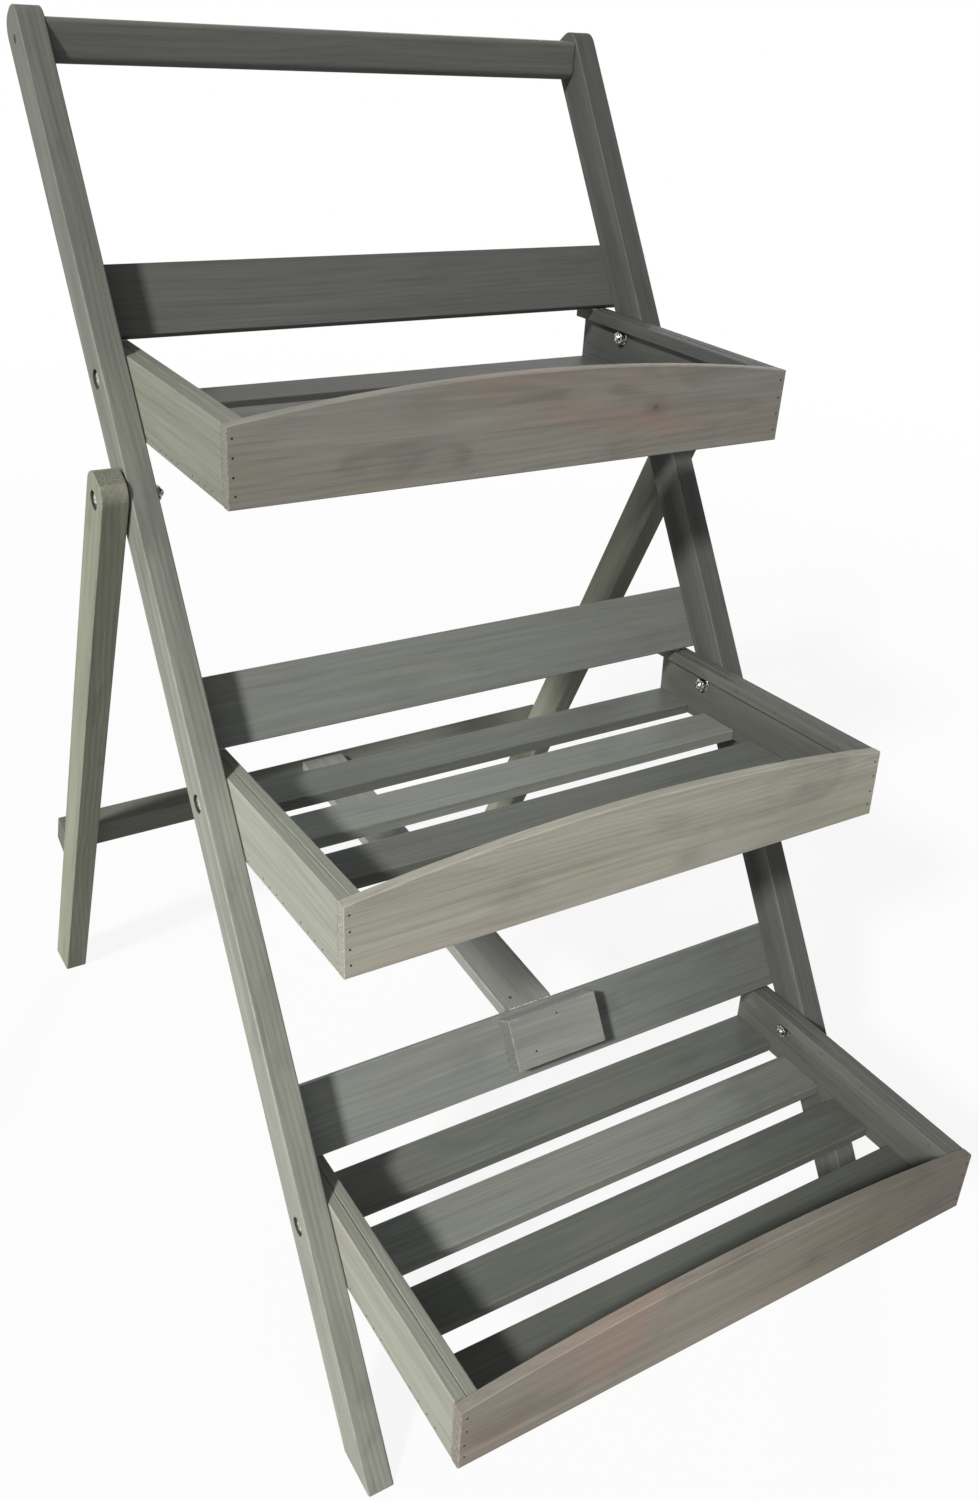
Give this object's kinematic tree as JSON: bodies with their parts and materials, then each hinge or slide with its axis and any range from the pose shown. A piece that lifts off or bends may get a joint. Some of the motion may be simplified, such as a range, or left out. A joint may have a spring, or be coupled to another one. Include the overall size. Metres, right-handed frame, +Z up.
{
  "type": "garden shelf",
  "caption": "Folding wooden plant ladder with stepped slatted trays hinged between raked front legs, a folding rear frame and a tie strap.",
  "frame": {"origin": "on the floor, under the middle of the shelf's outline in plan", "axes": "+Z up, -Y towards the front, +X to the right seen from the front"},
  "size_m": [0.711, 1.0124, 1.1798],
  "materials": {
    "leg_wood": "grey-stained softwood, matt, with worn edges",
    "panel_wood": "grey-stained softwood boards, matt",
    "slat_wood": "grey-stained softwood slats, matt",
    "rail_wood": "grey-stained softwood rails, matt",
    "zinc": "bright zinc plating"
  },
  "bodies": {
    "front_frame": {"front_leg_left": "leg_wood", "front_leg_right": "leg_wood", "top_rail": "rail_wood", "hinge_block": "panel_wood", "strap_hinge_rail_leaf": "zinc", "strap_hinge_pin": "zinc", "back_rail_top": "rail_wood", "back_rail_middle": "rail_wood", "back_rail_bottom": "rail_wood", "pivot_left_bolt": "zinc", "pivot_left_nut": "zinc", "pivot_left_spacer": "zinc", "tray_top_left_bolt": "zinc", "tray_top_left_nut": "zinc", "tray_middle_left_bolt": "zinc", "tray_middle_left_nut": "zinc", "tray_bottom_left_bolt": "zinc", "tray_bottom_left_nut": "zinc", "pivot_right_bolt": "zinc", "pivot_right_nut": "zinc", "pivot_right_spacer": "zinc", "tray_top_right_bolt": "zinc", "tray_top_right_nut": "zinc", "tray_middle_right_bolt": "zinc", "tray_middle_right_nut": "zinc", "tray_bottom_right_bolt": "zinc", "tray_bottom_right_nut": "zinc"},
    "rear_frame": {"rear_leg_left": "leg_wood", "rear_leg_right": "leg_wood", "crossbar": "rail_wood"},
    "strap": {"tie_strap": "rail_wood", "strap_hinge_strap_leaf": "zinc"},
    "tray_top": {"tray_top_front": "panel_wood", "tray_top_side_left": "panel_wood", "tray_top_side_right": "panel_wood", "tray_top_batten_left": "slat_wood", "tray_top_batten_right": "slat_wood", "tray_top_slat_1": "slat_wood", "tray_top_slat_2": "slat_wood", "tray_top_slat_3": "slat_wood", "tray_top_slat_4": "slat_wood"},
    "tray_middle": {"tray_middle_front": "panel_wood", "tray_middle_side_left": "panel_wood", "tray_middle_side_right": "panel_wood", "tray_middle_batten_left": "slat_wood", "tray_middle_batten_right": "slat_wood", "tray_middle_slat_1": "slat_wood", "tray_middle_slat_2": "slat_wood", "tray_middle_slat_3": "slat_wood", "tray_middle_slat_4": "slat_wood"},
    "tray_bottom": {"tray_bottom_front": "panel_wood", "tray_bottom_side_left": "panel_wood", "tray_bottom_side_right": "panel_wood", "tray_bottom_batten_left": "slat_wood", "tray_bottom_batten_right": "slat_wood", "tray_bottom_slat_1": "slat_wood", "tray_bottom_slat_2": "slat_wood", "tray_bottom_slat_3": "slat_wood", "tray_bottom_slat_4": "slat_wood"}
  },
  "joints": [
    {"name": "rear_frame_fold", "type": "hinge", "parent": "front_frame", "child": "rear_frame", "pos_m": [0, 0.1451, 0.78634], "axis": [-1, 0, 0], "range_deg": [0, 49]},
    {"name": "strap_lift", "type": "hinge", "parent": "front_frame", "child": "strap", "pos_m": [-0.0137, -0.15286, 0.27852], "axis": [1, 0, 0], "range_deg": [0, 43.5]},
    {"name": "tray_top_fold", "type": "hinge", "parent": "front_frame", "child": "tray_top", "pos_m": [0, 0.20788, 0.88005], "axis": [-1, 0, 0], "range_deg": [0, 122]},
    {"name": "tray_middle_fold", "type": "hinge", "parent": "front_frame", "child": "tray_middle", "pos_m": [0, -0.01987, 0.54009], "axis": [-1, 0, 0], "range_deg": [0, 117]},
    {"name": "tray_bottom_fold", "type": "hinge", "parent": "front_frame", "child": "tray_bottom", "pos_m": [0, -0.24779, 0.19989], "axis": [-1, 0, 0], "range_deg": [0, 119.5]}
  ]
}
